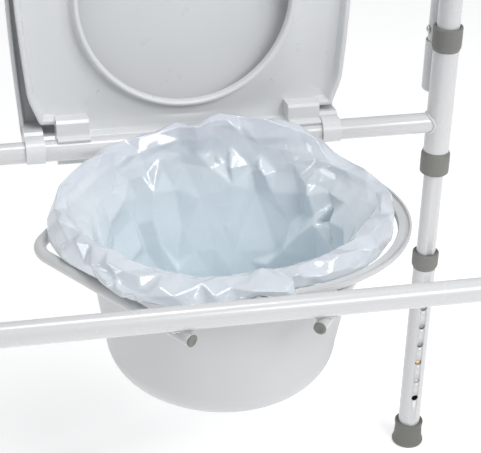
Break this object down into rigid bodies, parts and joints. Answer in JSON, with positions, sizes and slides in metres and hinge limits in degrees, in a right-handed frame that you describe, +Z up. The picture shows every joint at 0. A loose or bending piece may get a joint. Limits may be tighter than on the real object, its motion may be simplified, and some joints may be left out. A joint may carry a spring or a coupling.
{
  "type": "commode chair",
  "caption": "Steel commode chair with telescopic legs, arms, lift-off backrest, hinged seat and lid, and a lift-out lined pan with a bail handle.",
  "frame": {"origin": "on the floor, under the middle of the bounding box with the seat and lid raised", "axes": "+Z up, -Y towards the front of the chair, +X to the right seen from the front"},
  "size_m": [0.609, 0.4494, 0.8608],
  "materials": {
    "powder_coat": "glossy white powder coat",
    "grey_plastic": "moulded grey plastic",
    "rubber": "matt grey rubber",
    "brass": "polished",
    "steel": "zinc plated",
    "seat_plastic": "satin moulded polypropylene",
    "pan_plastic": "satin moulded polypropylene",
    "liner_film": "glossy thin film"
  },
  "bodies": {
    "frame": {"front_cross_tube": "powder_coat", "front_sleeve_left": "powder_coat", "front_upper_collar_left": "grey_plastic", "front_lower_collar_left": "grey_plastic", "front_leg_post_left": "powder_coat", "front_sleeve_right": "powder_coat", "front_upper_collar_right": "grey_plastic", "front_lower_collar_right": "grey_plastic", "front_leg_post_right": "powder_coat", "rear_cross_tube": "powder_coat", "rear_sleeve_left": "powder_coat", "rear_upper_collar_left": "grey_plastic", "rear_lower_collar_left": "grey_plastic", "rear_leg_post_left": "powder_coat", "rear_sleeve_right": "powder_coat", "rear_upper_collar_right": "grey_plastic", "rear_lower_collar_right": "grey_plastic", "rear_leg_post_right": "powder_coat", "bucket_rail_left": "powder_coat", "backrest_socket_left": "powder_coat", "arm_tube_left": "powder_coat", "armrest_pad_left": "grey_plastic", "rail_plug_front_left": "grey_plastic", "rail_plug_rear_left": "grey_plastic", "bucket_rail_right": "powder_coat", "backrest_socket_right": "powder_coat", "arm_tube_right": "powder_coat", "armrest_pad_right": "grey_plastic", "rail_plug_front_right": "grey_plastic", "rail_plug_rear_right": "grey_plastic"},
    "front_lower_leg_left": {"front_leg_extension_left": "powder_coat", "front_leg_collar_left": "grey_plastic", "front_foot_tip_left": "rubber"},
    "front_button_left": {"front_leg_button_left": "brass"},
    "front_lower_leg_right": {"front_leg_extension_right": "powder_coat", "front_leg_collar_right": "grey_plastic", "front_foot_tip_right": "rubber"},
    "front_button_right": {"front_leg_button_right": "brass"},
    "rear_lower_leg_left": {"rear_leg_extension_left": "powder_coat", "rear_leg_collar_left": "grey_plastic", "rear_foot_tip_left": "rubber"},
    "rear_button_left": {"rear_leg_button_left": "brass"},
    "rear_lower_leg_right": {"rear_leg_extension_right": "powder_coat", "rear_leg_collar_right": "grey_plastic", "rear_foot_tip_right": "rubber"},
    "rear_button_right": {"rear_leg_button_right": "brass"},
    "seat": {"seat": "seat_plastic", "seat_bumper_left": "rubber", "seat_bumper_right": "rubber"},
    "lid": {"lid": "seat_plastic", "lid_bumper_left": "rubber", "lid_bumper_right": "rubber"},
    "pan": {"pan": "pan_plastic", "bail_pin_front": "pan_plastic", "bail_pin_rear": "pan_plastic", "liner_bag": "liner_film"},
    "bail": {"bail_handle": "pan_plastic"},
    "backrest": {"backrest_tube": "powder_coat", "backrest_rivet_left": "steel", "backrest_rivet_right": "steel"}
  },
  "joints": [
    {"name": "front_leg_slide_left", "type": "slide", "parent": "frame", "child": "front_lower_leg_left", "axis": [0, 0, -1], "range_m": [-0.0508, 0.1016]},
    {"name": "front_button_press_left", "type": "slide", "parent": "frame", "child": "front_button_left", "axis": [0, 1, 0], "range_m": [0, 0.003], "stiffness_N_per_m": 800, "springref_m": -0.002},
    {"name": "front_leg_slide_right", "type": "slide", "parent": "frame", "child": "front_lower_leg_right", "axis": [0, 0, -1], "range_m": [-0.0508, 0.1016]},
    {"name": "front_button_press_right", "type": "slide", "parent": "frame", "child": "front_button_right", "axis": [0, 1, 0], "range_m": [0, 0.003], "stiffness_N_per_m": 800, "springref_m": -0.002},
    {"name": "rear_leg_slide_left", "type": "slide", "parent": "frame", "child": "rear_lower_leg_left", "axis": [0, 0, -1], "range_m": [-0.0508, 0.1016]},
    {"name": "rear_button_press_left", "type": "slide", "parent": "frame", "child": "rear_button_left", "axis": [0, 1, 0], "range_m": [0, 0.003], "stiffness_N_per_m": 800, "springref_m": -0.002},
    {"name": "rear_leg_slide_right", "type": "slide", "parent": "frame", "child": "rear_lower_leg_right", "axis": [0, 0, -1], "range_m": [-0.0508, 0.1016]},
    {"name": "rear_button_press_right", "type": "slide", "parent": "frame", "child": "rear_button_right", "axis": [0, 1, 0], "range_m": [0, 0.003], "stiffness_N_per_m": 800, "springref_m": -0.002},
    {"name": "seat_hinge", "type": "hinge", "parent": "frame", "child": "seat", "pos_m": [0, 0.1258, 0.431], "axis": [-1, 0, 0], "range_deg": [-98, 0]},
    {"name": "lid_hinge", "type": "hinge", "parent": "seat", "child": "lid", "pos_m": [0, 0.1258, 0.431], "axis": [-1, 0, 0], "range_deg": [0, 98]},
    {"name": "bucket_lift", "type": "slide", "parent": "frame", "child": "pan", "axis": [0, 0, 1], "range_m": [0, 0.25]},
    {"name": "bail_swing", "type": "hinge", "parent": "pan", "child": "bail", "pos_m": [0.007, -0.0402, 0.431], "axis": [0, -1, 0], "range_deg": [0, 100]},
    {"name": "backrest_lift", "type": "slide", "parent": "frame", "child": "backrest", "axis": [0, 0, 1], "range_m": [0, 0.08]}
  ]
}
